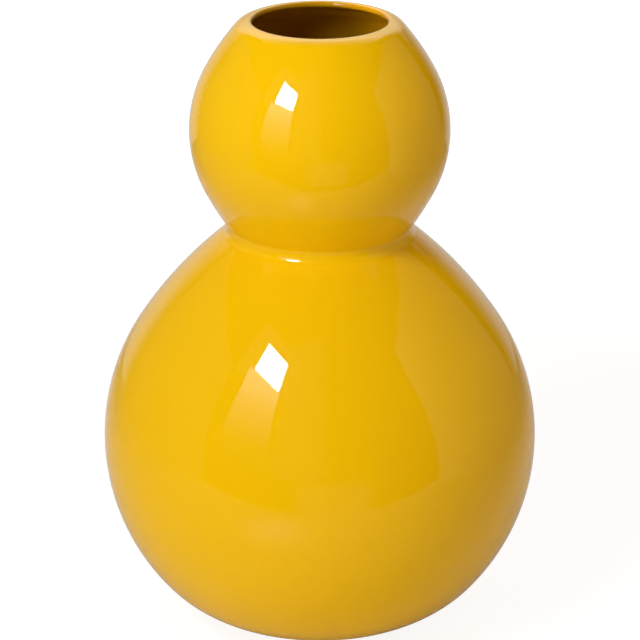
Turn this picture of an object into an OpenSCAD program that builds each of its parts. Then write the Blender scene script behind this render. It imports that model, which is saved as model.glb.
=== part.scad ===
// Double-bulb vase of spun sheet metal, lacquered inside and out
// Z is up, and the origin is the centre of the face that the vase rests on
// A profile is drawn as [radius, height], and every piece is turned about the vase's axis
// The height follows from the bulbs, the neck and the mouth: 285 mm with the sizes below

/* [Body] */
// Thickness of the spun sheet
wall = 1.2; // [0.8:0.1:1.6]

/* [Lower bulb] */
// Width of the lower bulb at its seam
lower_d = 200; // [190:1:230]
// Height that the flat base takes off the bottom of the ball
base_cut = 15.5; // [9:0.5:20]
// Radius that rounds the flat into the lower bulb
corner_r = 57; // [40:1:60]
// Rise in degrees above the seam at which the ball flattens into the shoulder
shoulder_start = 33.5; // [24:0.5:40]
// Radius of the shoulder's profile
shoulder_r = 202; // [160:1:260]

/* [Upper bulb] */
// Width of the upper bulb at its seam
upper_d = 117; // [110:1:124]
// Fall in degrees below the seam at which the ball straightens into the waist
waist_start = 28; // [20:1:30]
// Radius of the waist's profile
waist_r = 200; // [140:1:300]
// Rise in degrees above the seam at which the ball flattens into the crown
crown_start = 28; // [22:1:34]
// Radius of the crown's profile
crown_r = 110; // [90:1:150]

/* [Neck] */
// Width of the neck at its narrowest
neck_d = 84.5; // [78:0.5:94]
// Radius of the groove between the two bulbs
fillet_r = 5; // [3:0.5:9]
// Height of the hoop that lines the neck
hoop_w = 8; // [5:0.5:12]
// Thickness of the hoop that lines the neck
hoop_t = 1.5; // [1:0.1:2.5]

/* [Mouth] */
// Width of the mouth at its narrowest
mouth_d = 60; // [44:1:72]
// Outer rounding of the lip
lip_r = 8.4; // [5:0.1:11]
// Rounding of the lip's nose, which is half of the lip's thickness
nose_r = 1.4; // [1.2:0.1:2]
// Length of the tongue that laps under the crown
tongue_l = 5; // [3:0.5:8]

/* [Seam bands] */
// Width of the band behind each seam
band_w = 12; // [8:0.5:18]
// Thickness of the band behind each seam
band_t = 1.2; // [0.8:0.1:2]
// Film of braze between a shell and what lines it
braze_gap = 0.1; // [0.08:0.02:0.16]

/* [Base pad] */
// Height that the pad holds the metal above the table
pad_proud = 2; // [1:0.1:3]
// Depth of the recess that the pad is glued into
recess_h = 2; // [1:0.1:3]
// Width of the flat ring that is left round the recess
base_land = 5; // [3:0.5:8]
// Gap round the pad in its recess
pad_clearance = 0.5; // [0.2:0.1:1]

/* [Colours] */
// Lacquer on the metal
lacquer = "#f0b80c"; // ["#f0b80c":Yellow, "#c8321e":Red, "#22577a":Blue]
// Felt of the pad
felt = "#26241f"; // ["#26241f":Black, "#6b5a48":Brown]

/* [Hidden] */
// Steepness in degrees of the step round the recess
recess_slope = 45;
// Widest angle in degrees that one straight stretch of a profile spans
arc_step = 3;
// Half a turn in degrees
half_turn = 180;
$fn = 180;

lower_r = lower_d / 2;
upper_r = upper_d / 2;
neck_r = neck_d / 2;

// Base: the metal stands on the pad, and a corner arc runs from its flat into the ball
base_z = pad_proud;
lower_c = [0, base_z + lower_r - base_cut];
corner_z = base_z + corner_r;
corner_c = [leg(lower_r - corner_r, lower_c.y - corner_z), corner_z];
corner_end = bearing(lower_c, corner_c);
recess_run = recess_h / tan(recess_slope);
recess_r = corner_c.x - base_land - recess_run;
pad_r = recess_r - pad_clearance;

// Shoulder: its arc touches the ball from outside, so its centre lies beyond the ball's
shoulder_c = at(lower_c, lower_r - shoulder_r, shoulder_start);

// Neck: its arc touches the shoulder and the waist, and is narrowest at its own height
fillet_x = neck_r + fillet_r;
neck_z = shoulder_c.y + leg(shoulder_r + fillet_r, fillet_x - shoulder_c.x);
fillet_c = [fillet_x, neck_z];
shoulder_end = bearing(shoulder_c, fillet_c);
hoop_r = neck_r - wall - braze_gap;

// Waist: its arc touches the upper ball from outside, so it sets that ball's height
waist_fall = (waist_r - upper_r) * [cos(waist_start), sin(waist_start)];
upper_c = [0, neck_z + leg(waist_r + fillet_r, fillet_x + waist_fall.x) - waist_fall.y];
waist_c = [-waist_fall.x, upper_c.y + waist_fall.y];
waist_end = bearing(waist_c, fillet_c);

// Crown: its arc touches the upper ball and the lip's outer rounding
crown_c = at(upper_c, upper_r - crown_r, crown_start);
lip_x = mouth_d / 2 + nose_r;
lip_c = [lip_x, crown_c.y + leg(crown_r - lip_r, lip_x - crown_c.x)];
crown_end = bearing(crown_c, lip_c);
tongue_end = crown_end - span(tongue_l, crown_r);

// Lip: its nose and its outer rounding share their highest point
nose_c = [lip_x, lip_c.y + lip_r - nose_r];
lip_t = 2 * nose_r;

// The point at a distance and a direction in degrees from another
function at(c, r, a) = c + r * [cos(a), sin(a)];

// Direction in degrees from one point to another
function bearing(p, q) = atan2(q.y - p.y, q.x - p.x);

// The third side of a right triangle, from its longest side and one other
function leg(long, short) = sqrt(long * long - short * short);

// Angle in degrees of a length along an arc
function span(l, r) = l / r * half_turn / PI;

// Points along an arc, without the first one if it continues a profile
function arc(c, r, a, b, first = 0) =
    let (n = ceil(abs(b - a) / arc_step))
    [for (i = [first:n]) at(c, r, a + (b - a) * i / n)];

// Closed outline of a sheet between its outer and its inner profile
function sheet(outer, inner) = concat(outer, [for (i = [len(inner) - 1:-1:0]) inner[i]]);

// Profiles of the four shells, a depth t below the outer skin
function bowl_profile(t) = concat(
    arc(corner_c, corner_r - t, -90, corner_end),
    arc(lower_c, lower_r - t, corner_end, 0, 1)
);
function dome_profile(t) = concat(
    arc(lower_c, lower_r - t, 0, shoulder_start),
    arc(shoulder_c, shoulder_r - t, shoulder_start, shoulder_end, 1),
    arc(fillet_c, fillet_r + t, half_turn + shoulder_end, half_turn, 1)
);
function waist_profile(t) = concat(
    arc(fillet_c, fillet_r + t, half_turn, half_turn + waist_end),
    arc(waist_c, waist_r - t, waist_end, -waist_start, 1),
    arc(upper_c, upper_r - t, -waist_start, 0, 1)
);
function crown_profile(t) = concat(
    arc(upper_c, upper_r - t, 0, crown_start),
    arc(crown_c, crown_r - t, crown_start, crown_end, 1)
);

// The underside's profile at a depth t, stepped up over the pad
function base_profile(t) =
    let (lean = t * tan(recess_slope / 2))
    [
        [0, base_z + recess_h + t],
        [recess_r + lean, base_z + recess_h + t],
        [recess_r + recess_run + lean, base_z + t]
    ];

// A solid turned from an outline
module turned(points) rotate_extrude() polygon(points);

// Bottom half of the lower bulb, with the flat base and the recess for the pad
module lower_bowl()
    color(lacquer)
        turned(sheet(
            concat(base_profile(0), bowl_profile(0)),
            concat(base_profile(wall), bowl_profile(wall))
        ));

// Top half of the lower bulb: shoulder and the lower side of the neck
module lower_dome() color(lacquer) turned(sheet(dome_profile(0), dome_profile(wall)));

// Bottom half of the upper bulb: the upper side of the neck
module upper_bowl() color(lacquer) turned(sheet(waist_profile(0), waist_profile(wall)));

// Top half of the upper bulb, up to the mouth ring
module upper_dome() color(lacquer) turned(sheet(crown_profile(0), crown_profile(wall)));

// Thick ring of the lip, whose tongue laps under the crown's edge
module mouth_ring()
    color(lacquer)
        turned(sheet(
            concat(
                arc(crown_c, crown_r - wall - braze_gap, tongue_end, crown_end),
                arc(lip_c, lip_r, crown_end, 90)
            ),
            concat(
                arc(crown_c, crown_r - lip_t, tongue_end, crown_end),
                arc(lip_c, lip_r - lip_t, crown_end, 90, 1),
                arc(nose_c, nose_r, -90, -90 - half_turn, 1)
            )
        ));

// Band behind the seam of a ball
module seam_band(c, ball_r) {
    outer_r = ball_r - wall - braze_gap;
    half = span(band_w / 2, ball_r);
    color(lacquer)
        turned(sheet(arc(c, outer_r, -half, half), arc(c, outer_r - band_t, -half, half)));
}

module lower_seam_band() seam_band(lower_c, lower_r);

module upper_seam_band() seam_band(upper_c, upper_r);

// Hoop that joins the two bulbs from inside the neck
module neck_hoop()
    color(lacquer)
        translate([0, 0, neck_z - hoop_w / 2])
            turned([[hoop_r - hoop_t, 0], [hoop_r, 0], [hoop_r, hoop_w], [hoop_r - hoop_t, hoop_w]]);

// Felt disc glued into the recess, which the vase rests on
module base_pad() color(felt) cylinder(r = pad_r, h = base_z + recess_h);

lower_bowl();
lower_dome();
upper_bowl();
upper_dome();
mouth_ring();
lower_seam_band();
upper_seam_band();
neck_hoop();
base_pad();
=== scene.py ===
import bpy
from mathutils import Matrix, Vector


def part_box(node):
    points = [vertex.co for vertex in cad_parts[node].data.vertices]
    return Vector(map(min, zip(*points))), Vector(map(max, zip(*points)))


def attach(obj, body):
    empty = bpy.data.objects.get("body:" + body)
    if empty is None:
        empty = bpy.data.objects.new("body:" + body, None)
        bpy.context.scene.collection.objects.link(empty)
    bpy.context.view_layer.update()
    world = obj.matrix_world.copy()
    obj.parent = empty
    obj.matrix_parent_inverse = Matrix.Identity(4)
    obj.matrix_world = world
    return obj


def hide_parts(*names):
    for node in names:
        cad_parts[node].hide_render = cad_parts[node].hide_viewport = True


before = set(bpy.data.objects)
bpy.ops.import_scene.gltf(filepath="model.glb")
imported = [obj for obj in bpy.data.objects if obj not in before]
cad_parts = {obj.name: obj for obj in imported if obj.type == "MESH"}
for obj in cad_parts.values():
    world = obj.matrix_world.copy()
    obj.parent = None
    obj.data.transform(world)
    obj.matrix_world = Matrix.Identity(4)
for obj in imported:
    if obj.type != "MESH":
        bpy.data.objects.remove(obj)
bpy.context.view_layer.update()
print("frame loaded with nodes", ", ".join(sorted(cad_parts)))

import math

import bpy
import numpy as np
from mathutils import Matrix, Vector

scene = bpy.context.scene
scene.view_settings.view_transform = "Standard"

# Profiles, as [distance from the axis, height] in metres, with angles in degrees

turning = dict(
    segments=256,       # steps once round the axis
    arcStep=1.0,        # widest angle that one step of an arc spans
    flatStep=0.5,       # the same for the flattest arcs, which are the shoulder and the crown
    lipStep=2,          # the same for the lip
    grooveStep=4,       # the same for the groove of the neck
    roundStep=7.5,      # the same for a small rounding
    axisReach=1e-7,     # a point this close to the axis lies on it
)


# Points of an arc are its centre plus radius times (cos, sin) of the angle. The normal is that same
# direction, turned inwards where the angle falls, so an outline drawn anticlockwise faces outwards.
def arc(center, radius, start, end, step=turning["arcStep"]):
    count = math.ceil(abs(end - start) / step) + 1
    angle = np.radians(np.linspace(start, end, count))
    unit = np.stack([np.cos(angle), np.sin(angle)], 1)
    return np.asarray(center) + radius * unit, unit * math.copysign(1, end - start)


# A straight run from p to q, whose normal is its direction turned a quarter clockwise
def line(p, q):
    points = np.array([p, q], float)
    along = points[1] - points[0]
    normal = np.array([along[1], -along[0]]) / np.linalg.norm(along)
    return points, np.array([normal, normal])


# The point at a distance and an angle from another
def at(center, distance, angle):
    turn = math.radians(angle)
    return np.asarray(center) + distance * np.array([math.cos(turn), math.sin(turn)])


# The angle in which one point sees another
def bearing(p, q):
    return math.degrees(math.atan2(q[1] - p[1], q[0] - p[0]))


# The third side of a right triangle, from its longest side and one other
def leg(longest, other):
    return math.sqrt(longest * longest - other * other)


# The angle that a length along an arc spans
def span(length, radius):
    return math.degrees(length / radius)


# A point (r, z) of the outline goes to (r cos a, r sin a, z) as a runs once round the axis.
# Each corner of a face gets the outline's own normal, turned by a, so neighbours match exactly.
def turned(name, runs, closed=True):
    count = turning["segments"]
    starts = np.concatenate([points[:-1] for points, _ in runs])
    ends = np.concatenate([points[1:] for points, _ in runs])
    startNormals = np.concatenate([normals[:-1] for _, normals in runs])
    endNormals = np.concatenate([normals[1:] for _, normals in runs])
    outline = starts if closed else np.concatenate([starts, ends[-1:]])
    edge = np.arange(len(starts))
    following = (edge + 1) % len(outline)

    angle = np.arange(count) * 2 * math.pi / count
    around = np.stack([np.cos(angle), np.sin(angle)], 1)
    rings = np.empty((len(outline), count, 3))
    rings[..., :2] = outline[:, None, :1] * around[None]
    rings[..., 2] = outline[:, None, 1]

    # on the axis a ring is one vertex, and the quads that reach it become triangles
    onAxis = outline[:, 0] < turning["axisReach"]
    keep = np.ones((len(outline), count), bool)
    keep[onAxis, 1:] = False
    number = np.cumsum(keep.ravel()).reshape(keep.shape) - 1
    number[onAxis] = number[onAxis][:, :1]

    here = np.arange(count)
    beside = (here + 1) % count
    near, far = number[edge], number[following]
    corners = np.stack([near[:, here], near[:, beside], far[:, beside], far[:, here]], -1)
    flat = np.stack([startNormals, startNormals, endNormals, endNormals], 1)
    spin = around[np.stack([here, beside, beside, here], -1)]
    normals = np.empty(corners.shape + (3,))
    normals[..., :2] = flat[:, None, :, :1] * spin[None]
    normals[..., 2] = flat[:, None, :, 1]
    used = np.ones(corners.shape, bool)
    used[onAxis[edge], :, 1] = False
    used[onAxis[following], :, 3] = False

    sizes = used.sum(-1).ravel()
    mesh = bpy.data.meshes.new(name)
    mesh.vertices.add(int(keep.sum()))
    mesh.vertices.foreach_set("co", rings[keep].astype(np.float32).ravel())
    mesh.loops.add(int(sizes.sum()))
    mesh.loops.foreach_set("vertex_index", corners[used].astype(np.int32))
    mesh.polygons.add(len(sizes))
    mesh.polygons.foreach_set("loop_start", (np.cumsum(sizes) - sizes).astype(np.int32))
    mesh.update(calc_edges=True)
    mesh.validate()
    mesh.shade_smooth()
    mesh.normals_split_custom_set(normals[used])
    piece = bpy.data.objects.new(name, mesh)
    scene.collection.objects.link(piece)
    return piece


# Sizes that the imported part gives, and what the rest follows from

lowerBox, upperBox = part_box("lower_bowl"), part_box("upper_dome")
padBox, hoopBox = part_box("base_pad"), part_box("neck_hoop")
lowerR, lowerSeam, baseZ = lowerBox[1].x, lowerBox[1].z, lowerBox[0].z
upperR, upperSeam = upperBox[1].x, upperBox[0].z
neckZ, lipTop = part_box("lower_dome")[1].z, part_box("mouth_ring")[1].z

sheet = dict(
    wall=0.0012,            # the spun sheet
    cornerR=0.057,          # rounds the flat base into the ball
    shoulderStart=33.5,     # where the lower ball flattens
    shoulderR=0.202,
    filletR=0.005,          # groove of the neck
    waistStart=28,          # where the upper ball straightens, below its seam
    waistR=0.200,
    crownStart=28,          # where the upper ball flattens, above its seam
    crownR=0.110,
    baseLand=0.005,         # flat ring round the pad's recess
    filmGap=0.00002,        # what is left between a shell and the braze on it
)
wall = sheet["wall"]

lowerC = np.array([0, lowerSeam])
upperC = np.array([0, upperSeam])
cornerZ = baseZ + sheet["cornerR"]
cornerC = np.array([leg(lowerR - sheet["cornerR"], lowerSeam - cornerZ), cornerZ])
cornerEnd = bearing(lowerC, cornerC)
shoulderC = at(lowerC, lowerR - sheet["shoulderR"], sheet["shoulderStart"])
waistC = at(upperC, upperR - sheet["waistR"], -sheet["waistStart"])
filletC = np.array([waistC[0] + leg(sheet["waistR"] + sheet["filletR"], waistC[1] - neckZ), neckZ])
shoulderEnd = bearing(shoulderC, filletC)
waistEnd = bearing(waistC, filletC)
crownC = at(upperC, upperR - sheet["crownR"], sheet["crownStart"])


# The outer profiles of the four shells, a depth t below the outer skin, each from its foot upwards
def bowlRuns(t):
    return [
        arc(cornerC, sheet["cornerR"] - t, -90, cornerEnd),
        arc(lowerC, lowerR - t, cornerEnd, 0),
    ]


def domeRuns(t):
    return [
        arc(lowerC, lowerR - t, 0, sheet["shoulderStart"]),
        arc(shoulderC, sheet["shoulderR"] - t, sheet["shoulderStart"], shoulderEnd,
            turning["flatStep"]),
        arc(filletC, sheet["filletR"] + t, 180 + shoulderEnd, 180, turning["grooveStep"]),
    ]


def waistRuns(t):
    return [
        arc(filletC, sheet["filletR"] + t, 180, 180 + waistEnd, turning["grooveStep"]),
        arc(waistC, sheet["waistR"] - t, waistEnd, -sheet["waistStart"]),
        arc(upperC, upperR - t, -sheet["waistStart"], 0),
    ]


def crownRuns(t, end):
    return [
        arc(upperC, upperR - t, 0, sheet["crownStart"]),
        arc(crownC, sheet["crownR"] - t, sheet["crownStart"], end, turning["flatStep"]),
    ]


# The same runs from the last one's end back to the first one's start, facing the other way
def backwards(runs):
    return [(points[::-1], -normals[::-1]) for points, normals in reversed(runs)]


# Joins an outer and an inner profile of one sheet into a closed outline, with a straight edge
# at each end
def shellRuns(outer, inner):
    top = line(outer[-1][0][-1], inner[-1][0][-1])
    foot = line(inner[0][0][0], outer[0][0][0])
    return outer + [top] + backwards(inner) + [foot]


# Finishes

# Adds a node, with its settings and its inputs by name
def node(tree, kind, settings=None, **inputs):
    made = tree.nodes.new(kind)
    for key, value in (settings or {}).items():
        setattr(made, key, value)
    for key, value in inputs.items():
        socket = made.inputs[key.replace("_", " ")]
        if isinstance(value, bpy.types.NodeSocket):
            tree.links.new(value, socket)
        else:
            socket.default_value = value
    return made


# Adds a node for an operation on numbers or vectors, which stand in the order of its inputs
def worked(tree, kind, operation, values):
    made = node(tree, kind, dict(operation=operation))
    for socket, value in zip(made.inputs, values):
        if isinstance(value, bpy.types.NodeSocket):
            tree.links.new(value, socket)
        else:
            socket.default_value = value
    return made


def scalarMath(tree, operation, *values):
    return worked(tree, "ShaderNodeMath", operation, values).outputs["Value"]


def vectorMath(tree, operation, *values):
    return worked(tree, "ShaderNodeVectorMath", operation, values).outputs


def emptyMaterial(name):
    made = bpy.data.materials.new(name)
    made.use_nodes = True
    made.node_tree.nodes.clear()
    return made, made.node_tree


lacquerLook = dict(
    lightColor=(0.95, 0.545, 0.002, 1),
    deepColor=(0.91, 0.510, 0.002, 1),
    insideShadeColor=(0.52, 0.250, 0.002, 1),    # painted shade: a darker, browner colour on the faces turned to the axis
    insideFrom=-0.15,       # cosine between a face's normal and the outward way where that painted shade begins, and where it is complete
    insideTo=-0.75,         # begins, and where it is complete
    cloudScale=9.0,         # how often the coat's depth changes, per metre
    cloudDetail=3.0,
    ior=1.5,
    roughness=(0.025, 0.05),
    peelScale=170.0,        # orange peel of the sprayed coat, per metre
    peelDetail=1.5,
    peelHeight=0.0000035,
)


# Share of painted shade: how far a face turns towards the vase's axis, 0 outside and on top of the
# lip, 1 inside
def insideShadeShare(tree, place, look):
    outwards = vectorMath(tree, "MULTIPLY", place, (1, 1, 0))["Vector"]
    unit = vectorMath(tree, "NORMALIZE", outwards)["Vector"]
    normal = node(tree, "ShaderNodeNewGeometry").outputs["Normal"]
    across = vectorMath(tree, "DOT_PRODUCT", unit, normal)["Value"]
    return node(tree, "ShaderNodeMapRange", Value=across, From_Min=look["insideFrom"],
                From_Max=look["insideTo"]).outputs["Result"]


# Glossy sprayed coat: one clear-skinned colour that varies faintly in depth, with a slight
# orange peel, and painted shade inside: a darker, browner colour on the faces turned inwards
def sprayedLacquer(name, look):
    material, tree = emptyMaterial(name)
    place = node(tree, "ShaderNodeTexCoord").outputs["Object"]
    cloud = node(tree, "ShaderNodeTexNoise", Vector=place, Scale=look["cloudScale"],
                 Detail=look["cloudDetail"])
    tint = node(tree, "ShaderNodeMix", dict(data_type="RGBA"), Factor=cloud.outputs["Fac"],
                A=look["deepColor"], B=look["lightColor"])
    # painted shade: faces turned towards the axis take the darker, browner inside colour
    tint = node(tree, "ShaderNodeMix", dict(data_type="RGBA"), A=tint.outputs["Result"],
                B=look["insideShadeColor"], Factor=insideShadeShare(tree, place, look))
    gloss = node(tree, "ShaderNodeMapRange", Value=cloud.outputs["Fac"],
                 To_Min=look["roughness"][0], To_Max=look["roughness"][1])
    peel = node(tree, "ShaderNodeTexNoise", Vector=place, Scale=look["peelScale"],
                Detail=look["peelDetail"])
    bump = node(tree, "ShaderNodeBump", Height=peel.outputs["Fac"], Distance=look["peelHeight"])
    coat = node(tree, "ShaderNodeBsdfPrincipled", Base_Color=tint.outputs["Result"],
                Roughness=gloss.outputs["Result"], IOR=look["ior"], Normal=bump.outputs["Normal"])
    node(tree, "ShaderNodeOutputMaterial", Surface=coat.outputs["BSDF"])
    return material


lacquer = sprayedLacquer("lacquer_gloss_yellow", lacquerLook)
# Painted shade: the pieces inside the vase take a darker, browner yellow than the outer coat. Their
# coat is also rougher, with a stronger orange peel.
shadedInnerLacquer = sprayedLacquer("lacquer_inside_painted_shade", dict(
    lacquerLook,
    lightColor=(0.70, 0.340, 0.002, 1),
    deepColor=(0.64, 0.310, 0.002, 1),
    roughness=(0.06, 0.12),
    peelHeight=0.000008,
))

feltLook = dict(
    darkColor=(0.010, 0.0095, 0.008, 1),
    paleColor=(0.034, 0.031, 0.027, 1),
    paleFrom=0.12, paleTo=0.42,     # depth of the pile at which it is dark, and at which it is pale
    fibreScale=900.0,       # fibres, per metre
    fibreDetail=4.0,
    fibreRoughness=0.7,
    fibreTangle=1.5,
    fibreHeight=0.00025,
    tuftScale=140.0,        # matted tufts, per metre
    tuftDetail=2.0,
    roughness=0.95,
    sheen=0.25,
)


# Pressed felt: short fibres over matted tufts, with a soft edge light
def pressedFelt(name, look):
    material, tree = emptyMaterial(name)
    place = node(tree, "ShaderNodeTexCoord").outputs["Object"]
    fibre = node(tree, "ShaderNodeTexNoise", Vector=place, Scale=look["fibreScale"],
                 Detail=look["fibreDetail"], Roughness=look["fibreRoughness"],
                 Distortion=look["fibreTangle"])
    tuft = node(tree, "ShaderNodeTexNoise", Vector=place, Scale=look["tuftScale"],
                Detail=look["tuftDetail"])
    pile = scalarMath(tree, "MULTIPLY", fibre.outputs["Fac"], tuft.outputs["Fac"])
    shade = node(tree, "ShaderNodeMapRange", Value=pile, From_Min=look["paleFrom"],
                 From_Max=look["paleTo"])
    tint = node(tree, "ShaderNodeMix", dict(data_type="RGBA"), Factor=shade.outputs["Result"],
                A=look["darkColor"], B=look["paleColor"])
    bump = node(tree, "ShaderNodeBump", Height=pile, Distance=look["fibreHeight"])
    cloth = node(tree, "ShaderNodeBsdfPrincipled", Base_Color=tint.outputs["Result"],
                 Roughness=look["roughness"], Sheen_Weight=look["sheen"],
                 Normal=bump.outputs["Normal"])
    node(tree, "ShaderNodeOutputMaterial", Surface=cloth.outputs["BSDF"])
    return material


felt = pressedFelt("felt_black", feltLook)
print("finishes ready")


# The vase

# Hands a piece over: its finish, the body that it rides on and the node it stands for, which is
# hidden
def handOver(piece, finish, cadNode):
    piece.data.materials.append(finish)
    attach(piece, "root")
    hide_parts(cadNode)


recess = dict(
    slope=45,               # of the step round the pad
    depth=padBox[1].z - baseZ,
    outer=cornerC[0] - sheet["baseLand"],
)
recess["inner"] = recess["outer"] - recess["depth"] / math.tan(math.radians(recess["slope"]))


# The underside a depth t above its skin: recess, step and flat ring
def baseRuns(t):
    lean = t * math.tan(math.radians(recess["slope"] / 2))
    top, flat = baseZ + recess["depth"] + t, baseZ + t
    return [
        line((0, top), (recess["inner"] + lean, top)),
        line((recess["inner"] + lean, top), (recess["outer"] + lean, flat)),
        line((recess["outer"] + lean, flat), (cornerC[0], flat)),
    ]


bowlOuter = baseRuns(0) + bowlRuns(0)
bowlInner = baseRuns(wall) + bowlRuns(wall)
lowerBowl = turned(
    "lowerBowl",
    bowlOuter + [line(bowlOuter[-1][0][-1], bowlInner[-1][0][-1])] + backwards(bowlInner),
    closed=False,
)
handOver(lowerBowl, lacquer, "lower_bowl")

lowerDome = turned("lowerDome", shellRuns(domeRuns(0), domeRuns(wall)))
handOver(lowerDome, lacquer, "lower_dome")

upperBowl = turned("upperBowl", shellRuns(waistRuns(0), waistRuns(wall)))
handOver(upperBowl, lacquer, "upper_bowl")

mouth = dict(
    lipR=0.0084,            # outer rounding of the lip
    noseR=0.0014,           # half the lip's thickness
    tongue=0.005,           # laps under the crown's edge
    fairing=0.004,          # filler that fairs the tongue's end into the crown
    fairingPoints=25,
)
lipZ = lipTop - mouth["lipR"]
lipC = np.array([crownC[0] + leg(sheet["crownR"] - mouth["lipR"], lipZ - crownC[1]), lipZ])
noseC = np.array([lipC[0], lipTop - mouth["noseR"]])
lipThickness = 2 * mouth["noseR"]
crownEnd = bearing(crownC, lipC)
tongueEnd = crownEnd - span(mouth["tongue"], sheet["crownR"])

upperDome = turned("upperDome", shellRuns(crownRuns(0, crownEnd), crownRuns(wall, crownEnd)))
handOver(upperDome, lacquer, "upper_dome")


# The ring's inner face eases out to the crown's: s of the way along, it has moved by the share
# 3 s^2 - 2 s^3 of the step between the two
def fairedTongue(faceR):
    fairEnd = tongueEnd - span(mouth["fairing"], sheet["crownR"])
    s = np.linspace(0, 1, mouth["fairingPoints"])
    angle = np.radians(crownEnd + (fairEnd - crownEnd) * s)
    radius = sheet["crownR"] - lipThickness
    radius = radius + (faceR - radius) * s * s * (3 - 2 * s)
    points = crownC + radius[:, None] * np.stack([np.cos(angle), np.sin(angle)], 1)
    along = np.gradient(points, axis=0)
    normals = np.stack([along[:, 1], -along[:, 0]], 1)
    return points, normals / np.linalg.norm(normals, axis=1, keepdims=True), fairEnd


crownFace = sheet["crownR"] - wall - sheet["filmGap"]
tonguePoints, tongueNormals, fairEnd = fairedTongue(crownFace)
ringRuns = [
    arc(crownC, crownFace, fairEnd, crownEnd, turning["flatStep"]),
    line(at(crownC, crownFace, crownEnd), at(lipC, mouth["lipR"], crownEnd)),
    arc(lipC, mouth["lipR"], crownEnd, 90, turning["lipStep"]),
    arc(noseC, mouth["noseR"], 90, 270, turning["roundStep"]),
    arc(lipC, mouth["lipR"] - lipThickness, 90, crownEnd, turning["lipStep"]),
    (tonguePoints, tongueNormals),
]
mouthRing = turned("mouthRing", ringRuns)
handOver(mouthRing, lacquer, "mouth_ring")

seam = dict(
    width=0.012,            # of the band behind each seam
    thickness=0.0012,
    gap=0.0001,             # film of braze behind the band
    edgeR=0.0003,           # deburred edge
    beadR=0.0008,           # braze along the band's edges
)


# A quarter-round hollow of braze in the corner between a shell, whose face lies at faceR, and the
# end of what lines it, at the given angle. The sign says on which side of the angle the bead lies.
def bead(center, faceR, angle, radius, sign):
    middle = at(center, faceR - radius, angle + sign * span(radius, faceR - radius))
    if sign > 0:
        return arc(middle, radius, angle, angle - 90, turning["roundStep"])
    return arc(middle, radius, angle + 90, angle, turning["roundStep"])


# Band behind the seam of a ball: its film of braze reaches the shell and fills the two corners
# with a bead, and its free edges are rounded
def seamBand(name, center, ballR):
    faceR = ballR - wall - sheet["filmGap"]
    innerR = ballR - wall - seam["gap"] - seam["thickness"]
    half = span(seam["width"] / 2, ballR)
    edge, step = seam["edgeR"], turning["roundStep"]
    tilt = span(edge, innerR)
    upperBead = bead(center, faceR, half, seam["beadR"], 1)
    lowerBead = bead(center, faceR, -half, seam["beadR"], -1)
    upperRound = arc(at(center, innerR + edge, half - tilt), edge, half + 90, half + 180, step)
    lowerRound = arc(at(center, innerR + edge, tilt - half), edge, 180 - half, 270 - half, step)
    return turned(name, [
        arc(center, faceR, bearing(center, lowerBead[0][-1]), bearing(center, upperBead[0][0])),
        upperBead,
        line(upperBead[0][-1], upperRound[0][0]),
        upperRound,
        arc(center, innerR, bearing(center, upperRound[0][-1]), bearing(center, lowerRound[0][0])),
        lowerRound,
        line(lowerRound[0][-1], lowerBead[0][0]),
        lowerBead,
    ])


handOver(seamBand("lowerSeamBand", lowerC, lowerR), shadedInnerLacquer, "lower_seam_band")
handOver(seamBand("upperSeamBand", upperC, upperR), shadedInnerLacquer, "upper_seam_band")

hoop = dict(thickness=0.0015, edgeR=0.0004)


# Hoop inside the neck: a straight strip with rounded edges
def neckHoop():
    outer, inner = hoopBox[1].x, hoopBox[1].x - hoop["thickness"]
    low, high, edge, step = hoopBox[0].z, hoopBox[1].z, hoop["edgeR"], turning["roundStep"]
    corner = [
        arc((outer - edge, low + edge), edge, -90, 0, step),
        arc((outer - edge, high - edge), edge, 0, 90, step),
        arc((inner + edge, high - edge), edge, 90, 180, step),
        arc((inner + edge, low + edge), edge, 180, 270, step),
    ]
    runs = []
    for this, following in zip(corner, corner[1:] + corner[:1]):
        runs += [this, line(this[0][-1], following[0][0])]
    return turned("neckHoop", runs)


handOver(neckHoop(), shadedInnerLacquer, "neck_hoop")

pad = dict(
    bottomR=0.0006,         # worn lower edge
    topR=0.0002,
)


# Felt disc: flat faces and two unequally rounded edges
def basePad():
    radius, top, step = padBox[1].x, padBox[1].z, turning["roundStep"]
    low = arc((radius - pad["bottomR"], pad["bottomR"]), pad["bottomR"], -90, 0, step)
    high = arc((radius - pad["topR"], top - pad["topR"]), pad["topR"], 0, 90, step)
    return turned("basePad", [
        line((0, 0), low[0][0]),
        low,
        line(low[0][-1], high[0][0]),
        high,
        line(high[0][-1], (0, top)),
    ], closed=False)


handOver(basePad(), felt, "base_pad")
print("vase built")

# Studio

studio = dict(
    ceiling=0.38,           # soft light from above
    ceilingColor=(1.0, 0.85, 0.75, 1),
    backWall=2.0,           # soft light from low behind
    bandLow=0.15,           # height of the unit direction at which the wall starts to end
    bandHigh=0.60,          # and at which the ceiling has its full light
    backFull=0.9,           # depth of the unit direction at which the wall has its full light
    reflectedRoom=0.0,      # what a reflection sees past all cards
    secondFrom=1.2,         # a mirror image has the depth 1, and one that shows in another has 2,
    secondTo=1.8,           # so these two tell them apart
)


# A flat rectangle on two axes through its middle: its corners are the middle plus or minus half of
# each side
def rectangle(name, center, across, upwards, size):
    middle = Vector(center)
    side = Vector(across).normalized() * size[0] / 2
    rise = Vector(upwards).normalized() * size[1] / 2
    corners = [
        middle - side - rise, middle + side - rise, middle + side + rise, middle - side + rise
    ]
    mesh = bpy.data.meshes.new(name)
    mesh.from_pydata(corners, [], [(0, 1, 2, 3)])
    made = bpy.data.objects.new(name, mesh)
    scene.collection.objects.link(made)
    return made


# Puts a lamp into the scene, which only matt surfaces see
def hang(name, lamp, transform):
    holder = bpy.data.objects.new(name, lamp)
    scene.collection.objects.link(holder)
    holder.matrix_world = transform
    holder.visible_camera = False
    holder.visible_glossy = False


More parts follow.
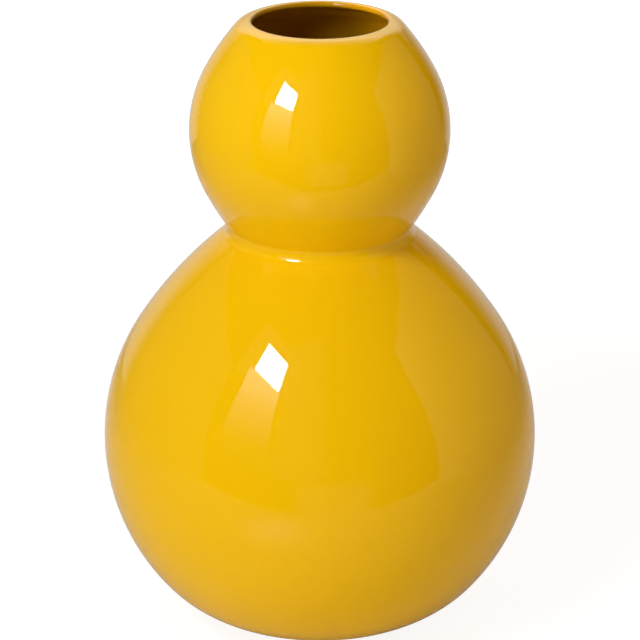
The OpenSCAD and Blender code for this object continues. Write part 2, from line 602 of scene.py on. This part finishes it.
# Rectangular lamp, whose power is radiance times area times pi
def softbox(name, center, across, upwards, size, radiance, color):
    lamp = bpy.data.lights.new(name, "AREA")
    lamp.shape = "RECTANGLE"
    lamp.size, lamp.size_y = size
    lamp.energy = radiance * size[0] * size[1] * math.pi
    lamp.color = color
    x = Vector(across).normalized()
    z = x.cross(Vector(upwards)).normalized()
    y = z.cross(x)
    turn = Matrix((x, y, z)).transposed().to_4x4()
    hang(name, lamp, Matrix.Translation(center) @ turn)


keyAxes = dict(across=(0.723, -0.678, -0.135), upwards=(0.025, -0.169, 0.985))

softbox("keySoftbox", center=(-0.483, -0.691, 0.972), **keyAxes, size=(0.294, 0.315),
        radiance=33.0, color=(1.0, 1.06, 1.10))
softbox("leftFill", center=(-0.80, -1.00, 0.35), across=(0.781, -0.625, 0),
        upwards=(0.10, 0.13, 0.99), size=(0.8, 0.7), radiance=2.2, color=(1, 1, 1))
softbox("rightFill", center=(0.90, -0.90, 0.35), across=(0.707, 0.707, 0),
        upwards=(-0.12, 0.12, 0.99), size=(0.8, 0.7), radiance=1.4, color=(1.0, 0.85, 0.75))

beam = dict(
    origin=(-0.90, -0.75, 0.80),
    target=(0.008, 0.008, 0.286),       # just over the mouth, right of its middle and behind it
    power=60.0,
    angle=0.031,            # of the whole cone, in radians
    blend=1.0,              # soft from its middle to its rim
    color=(1.0, 0.80, 0.70),
    sourceR=0.01,
)


# Narrow beam into the mouth, which lights its far wall
def mouthBeam():
    lamp = bpy.data.lights.new("mouthBeam", "SPOT")
    lamp.energy, lamp.spot_size, lamp.spot_blend = beam["power"], beam["angle"], beam["blend"]
    lamp.color = beam["color"]
    lamp.shadow_soft_size = beam["sourceR"]
    way = Vector(beam["target"]) - Vector(beam["origin"])
    turn = way.to_track_quat("-Z", "Y").to_matrix().to_4x4()
    hang("mouthBeam", lamp, Matrix.Translation(beam["origin"]) @ turn)


mouthBeam()


# A smooth step of a value from one level to another
def eased(tree, value, low, high, start, end):
    return node(tree, "ShaderNodeMapRange", dict(interpolation_type="SMOOTHSTEP"), Value=value,
                From_Min=low, From_Max=high, To_Min=start, To_Max=end).outputs["Result"]


# A value that follows (position, value) pairs along an axis
def ramped(tree, where, pairs):
    curve = node(tree, "ShaderNodeFloatCurve")
    low, high, peak = pairs[0][0], pairs[-1][0], max(value for _, value in pairs)
    points = curve.mapping.curves[0].points
    for index, (position, value) in enumerate(pairs):
        spot = ((position - low) / (high - low), value / peak)
        if index in (0, len(pairs) - 1):
            points[0 if index == 0 else -1].location = spot
        else:
            points.new(*spot)
    curve.mapping.update()
    share = node(tree, "ShaderNodeMapRange", Value=where, From_Min=low, From_Max=high)
    tree.links.new(share.outputs["Result"], curve.inputs["Value"])
    return scalarMath(tree, "MULTIPLY", curve.outputs["Value"], peak)


# A card that only reflections see. Its glow is (position, radiance) pairs along one of the scene's
# axes, and fades sideways between two distances from its middle, which narrow with height. A card
# for direct reflections only is left out where one reflection shows in another.
def card(name, center, across, upwards, size, axis, glow, fade=None, narrowing=0.0,
         directOnly=False):
    made = rectangle(name, center, across, upwards, size)
    for flag in ("camera", "diffuse", "transmission", "volume_scatter", "shadow"):
        setattr(made, "visible_" + flag, False)
    material, tree = emptyMaterial(name)
    where = node(tree, "ShaderNodeSeparateXYZ",
                 Vector=node(tree, "ShaderNodeTexCoord").outputs["Object"]).outputs
    strength = ramped(tree, where[axis], glow)
    if fade:
        aside = scalarMath(tree, "ABSOLUTE", scalarMath(tree, "SUBTRACT", where["X"], center[0]))
        drawnIn = scalarMath(tree, "MULTIPLY", where["Z"], narrowing)
        shown = eased(tree, scalarMath(tree, "ADD", aside, drawnIn), *fade, 1.0, 0.0)
        strength = scalarMath(tree, "MULTIPLY", strength, shown)
    if directOnly:
        depth = node(tree, "ShaderNodeLightPath").outputs["Glossy Depth"]
        first = eased(tree, depth, studio["secondFrom"], studio["secondTo"], 1.0, 0.0)
        strength = scalarMath(tree, "MULTIPLY", strength, first)
    light = node(tree, "ShaderNodeEmission", Strength=strength)
    node(tree, "ShaderNodeOutputMaterial", Surface=light.outputs["Emission"])
    made.data.materials.append(material)


# Upright and square to Y. A card glows on both sides, so this serves in front and behind.
facingFront = dict(across=(1, 0, 0), upwards=(0, 0, 1), axis="Z")

card("softboxFace", center=(-0.299, -0.433, 0.650), **keyAxes, size=(0.184, 0.186), axis="Z",
     glow=[(0.5, 36.0), (0.8, 36.0)], directOnly=True)
card("softboxHalo", center=(-0.33, -0.48, 0.74), **keyAxes, size=(0.46, 0.40), axis="Z",
     glow=[(0.5, 0.15), (0.95, 0.15)])
card("softboxSkirt", center=(-0.311, -0.409, 0.352), across=keyAxes["across"],
     upwards=(0, 0, 1), size=(0.225, 0.41), axis="Z",
     glow=[(0.15, 0.03), (0.22, 0.11), (0.284, 0.4), (0.355, 0.85), (0.43, 1.5), (0.50, 2.4),
           (0.563, 2.9)])
card("leftCard", center=(-0.70, 0.10, 0.37), across=(0, 1, 0), upwards=(0, 0.10, 0.995),
     size=(1.00, 0.74), axis="Y", glow=[(-0.44, 0.13), (0.0, 0.11), (0.64, 0.08)])
card("rightCard", center=(0.45, 0.035, 0.31), across=(0, 1, 0), upwards=(0, 0, 1),
     size=(0.63, 0.62), axis="Y", glow=[(-0.28, 0.30), (0.0, 0.19), (0.35, 0.12)])
card("frontPatch", center=(0.125, -1.0, -0.16), **facingFront, size=(0.80, 0.46),
     glow=[(-0.39, 0.16), (-0.1, 0.17), (0.0, 0.16), (0.03, 0.1), (0.07, 0.0)], fade=(0.24, 0.40))
card("frontCard", center=(-0.20, -1.0, 0.86), **facingFront, size=(0.60, 1.6),
     glow=[(0.06, 0.09), (0.6, 0.10), (1.66, 0.10)], fade=(0.15, 0.30))
card("backCardLow", center=(-0.08, 0.60, 0.21), **facingFront, size=(1.70, 0.42),
     glow=[(0.0, 0.55), (0.20, 0.62), (0.40, 0.56), (0.42, 0.62)], fade=(0.42, 0.82),
     narrowing=0.45)
card("backCardHigh", center=(-0.03, 0.60, 0.69), **facingFront, size=(1.30, 0.54),
     glow=[(0.42, 0.66), (0.46, 0.9), (0.57, 1.15), (0.69, 1.45), (0.96, 2.4)], fade=(0.28, 0.66))
card("topCard", center=(0, 0.25, 0.96), across=(1, 0, 0), upwards=(0, 1, 0), size=(1.10, 0.70),
     axis="Y",
     glow=[(-0.1, 0.05), (0.0, 0.15), (0.1, 0.32), (0.25, 0.75), (0.4, 1.25), (0.6, 2.2)])

table = dict(
    half=4.0,               # from its middle to its edge
    top=-0.0002,            # just under the pad, so that their faces don't coincide
    albedo=0.72,            # what bounces on to the vase
    shownDiffuse=0.22,      # share of the light on it that the camera sees, for the shadow
    shownGlow=0.88,         # the rest of what it sees near the vase, which fades to white
    fadeFrom=0.35, fadeTo=0.9,
    glossAlbedo=(0.28, 0.90),               # what reflections see of it in front, and behind with painted light
    glossFrom=-0.15, glossTo=0.35,
    glossAside=(0.16, 0.44),                # the painted light behind fades sideways
    footCenter=(0.03, -0.08, 0), footR=0.11, footShare=0.5,         # painted shade in reflections, darker right before the foot
    frontEdge=-0.345,       # reflections see past the table in front of this line
    edgeBlur=0.02,
    poolCenter=(-0.18, -0.18, 0), poolR=0.34, poolGlow=0.42,        # light thrown back by the vase
    spotCenter=(-0.08, -0.235, 0), spotR=0.09, spotGlow=0.5,        # the same in reflections
    farCenter=(0.04, 0.16, 0), farR=0.34, farGlow=0.22,             # and behind the vase
)


# A value that eases from the middle of a round patch of the table to its rim
def roundPatch(tree, place, patch, middle, rim=0.0):
    away = vectorMath(tree, "DISTANCE", place, table[patch + "Center"])["Value"]
    return eased(tree, away, 0.0, table[patch + "R"], middle, rim)


def matt(tree, color):
    if isinstance(color, float):
        color = (color, color, color, 1)
    return node(tree, "ShaderNodeBsdfDiffuse", Color=color).outputs[0]


def glowing(tree, strength):
    return node(tree, "ShaderNodeEmission", Strength=strength).outputs[0]


def added(tree, first, second):
    made = node(tree, "ShaderNodeAddShader")
    tree.links.new(first, made.inputs[0])
    tree.links.new(second, made.inputs[1])
    return made.outputs[0]


# The second shader where the factor is 1, and the first where it is 0
def mixed(tree, factor, first, second):
    made = node(tree, "ShaderNodeMixShader", Fac=factor)
    tree.links.new(first, made.inputs[1])
    tree.links.new(second, made.inputs[2])
    return made.outputs[0]


# Pale table: the camera sees it as white with the vase's shadow. Reflections see a grey top with
# painted light behind and in patches and painted shade before the foot, which ends towards the
# camera. Other rays see a plain matt white with a pool of light.
def tableTop():
    side = 2 * table["half"]
    top = rectangle("table", (0, 0, table["top"]), (1, 0, 0), (0, 1, 0), (side, side))
    material, tree = emptyMaterial("table_white")
    rays = node(tree, "ShaderNodeLightPath").outputs
    place = node(tree, "ShaderNodeTexCoord").outputs["Object"]

    shownGlow = node(tree, "ShaderNodeMapRange", Value=vectorMath(tree, "LENGTH", place)["Value"],
                     From_Min=table["fadeFrom"], From_Max=table["fadeTo"],
                     To_Min=table["shownGlow"], To_Max=1.0).outputs["Result"]
    shown = added(tree, glowing(tree, shownGlow), matt(tree, table["shownDiffuse"]))

    pool = glowing(tree, roundPatch(tree, place, "pool", table["poolGlow"]))
    lit = added(tree, matt(tree, table["albedo"]), pool)

    along = node(tree, "ShaderNodeSeparateXYZ", Vector=place).outputs
    behind = eased(tree, along["Y"], table["glossFrom"], table["glossTo"], 0.0, 1.0)
    inside = eased(tree, scalarMath(tree, "ABSOLUTE", along["X"]), *table["glossAside"], 1.0, 0.0)
    # painted light: reflections see the table paler behind the vase
    litGlossAlbedo = node(tree, "ShaderNodeMapRange", Value=scalarMath(tree, "MULTIPLY", behind, inside),
                 To_Min=table["glossAlbedo"][0], To_Max=table["glossAlbedo"][1]).outputs["Result"]
    # painted shade: reflections see the table darker right before the foot
    foot = roundPatch(tree, place, "foot", table["footShare"], 1.0)
    spot = glowing(tree, roundPatch(tree, place, "spot", table["spotGlow"]))
    far = glowing(tree, roundPatch(tree, place, "far", table["farGlow"]))
    patched = matt(tree, scalarMath(tree, "MULTIPLY", litGlossAlbedo, foot))
    grey = added(tree, patched, added(tree, spot, far))
    edge, blur = table["frontEdge"], table["edgeBlur"]
    reflected = mixed(tree, eased(tree, along["Y"], edge - blur, edge + blur, 0.0, 1.0),
                      node(tree, "ShaderNodeBsdfTransparent").outputs[0], grey)

    unseen = mixed(tree, rays["Is Glossy Ray"], lit, reflected)
    surface = mixed(tree, rays["Is Camera Ray"], unseen, shown)
    node(tree, "ShaderNodeOutputMaterial", Surface=surface)
    top.data.materials.append(material)


tableTop()


def background(tree, color, strength):
    return node(tree, "ShaderNodeBackground", Color=color, Strength=strength).outputs[0]


# The room: white where the camera looks past the table, and unlit in reflections, which see the
# cards. Other rays see a soft ceiling and a brighter wall low behind the vase.
def room():
    world = bpy.data.worlds.new("room")
    scene.world = world
    world.use_nodes = True
    tree = world.node_tree
    tree.nodes.clear()
    rays = node(tree, "ShaderNodeLightPath").outputs
    way = node(tree, "ShaderNodeSeparateXYZ",
               Vector=node(tree, "ShaderNodeTexCoord").outputs["Generated"]).outputs
    low, high = studio["bandLow"], studio["bandHigh"]
    ceiling = eased(tree, way["Z"], low, high, 0.0, studio["ceiling"])
    wall = eased(tree, way["Z"], low, high, studio["backWall"], 0.0)
    back = eased(tree, way["Y"], 0.0, studio["backFull"], 0.0, 1.0)
    white = (1, 1, 1, 1)
    above = background(tree, studio["ceilingColor"], ceiling)
    behind = background(tree, white, scalarMath(tree, "MULTIPLY", wall, back))
    unlit = background(tree, white, studio["reflectedRoom"])
    unseen = mixed(tree, rays["Is Glossy Ray"], added(tree, above, behind), unlit)
    surface = mixed(tree, rays["Is Camera Ray"], unseen, background(tree, white, 1.0))
    node(tree, "ShaderNodeOutputWorld", Surface=surface)


room()
print("studio lit")

view = dict(
    lens=162.565,
    sensor=36.0,
    elevation=21.279,       # degrees above the horizon
    distance=1.3272,
    aimHeight=0.14262,      # of the point on the axis at which the camera aims
    shiftX=0.0004,          # the axis stands a quarter pixel left of the middle
)


# Camera that looks along +Y, down at the aimed point
def photoCamera():
    data = bpy.data.cameras.new("camera")
    data.lens = view["lens"]
    data.sensor_width = view["sensor"]
    data.shift_x = view["shiftX"]
    camera = bpy.data.objects.new("camera", data)
    scene.collection.objects.link(camera)
    tilt = math.radians(view["elevation"])
    back, rise = view["distance"] * math.cos(tilt), view["distance"] * math.sin(tilt)
    camera.location = (0, -back, view["aimHeight"] + rise)
    camera.rotation_euler = (math.pi / 2 - tilt, 0, 0)
    scene.camera = camera


photoCamera()
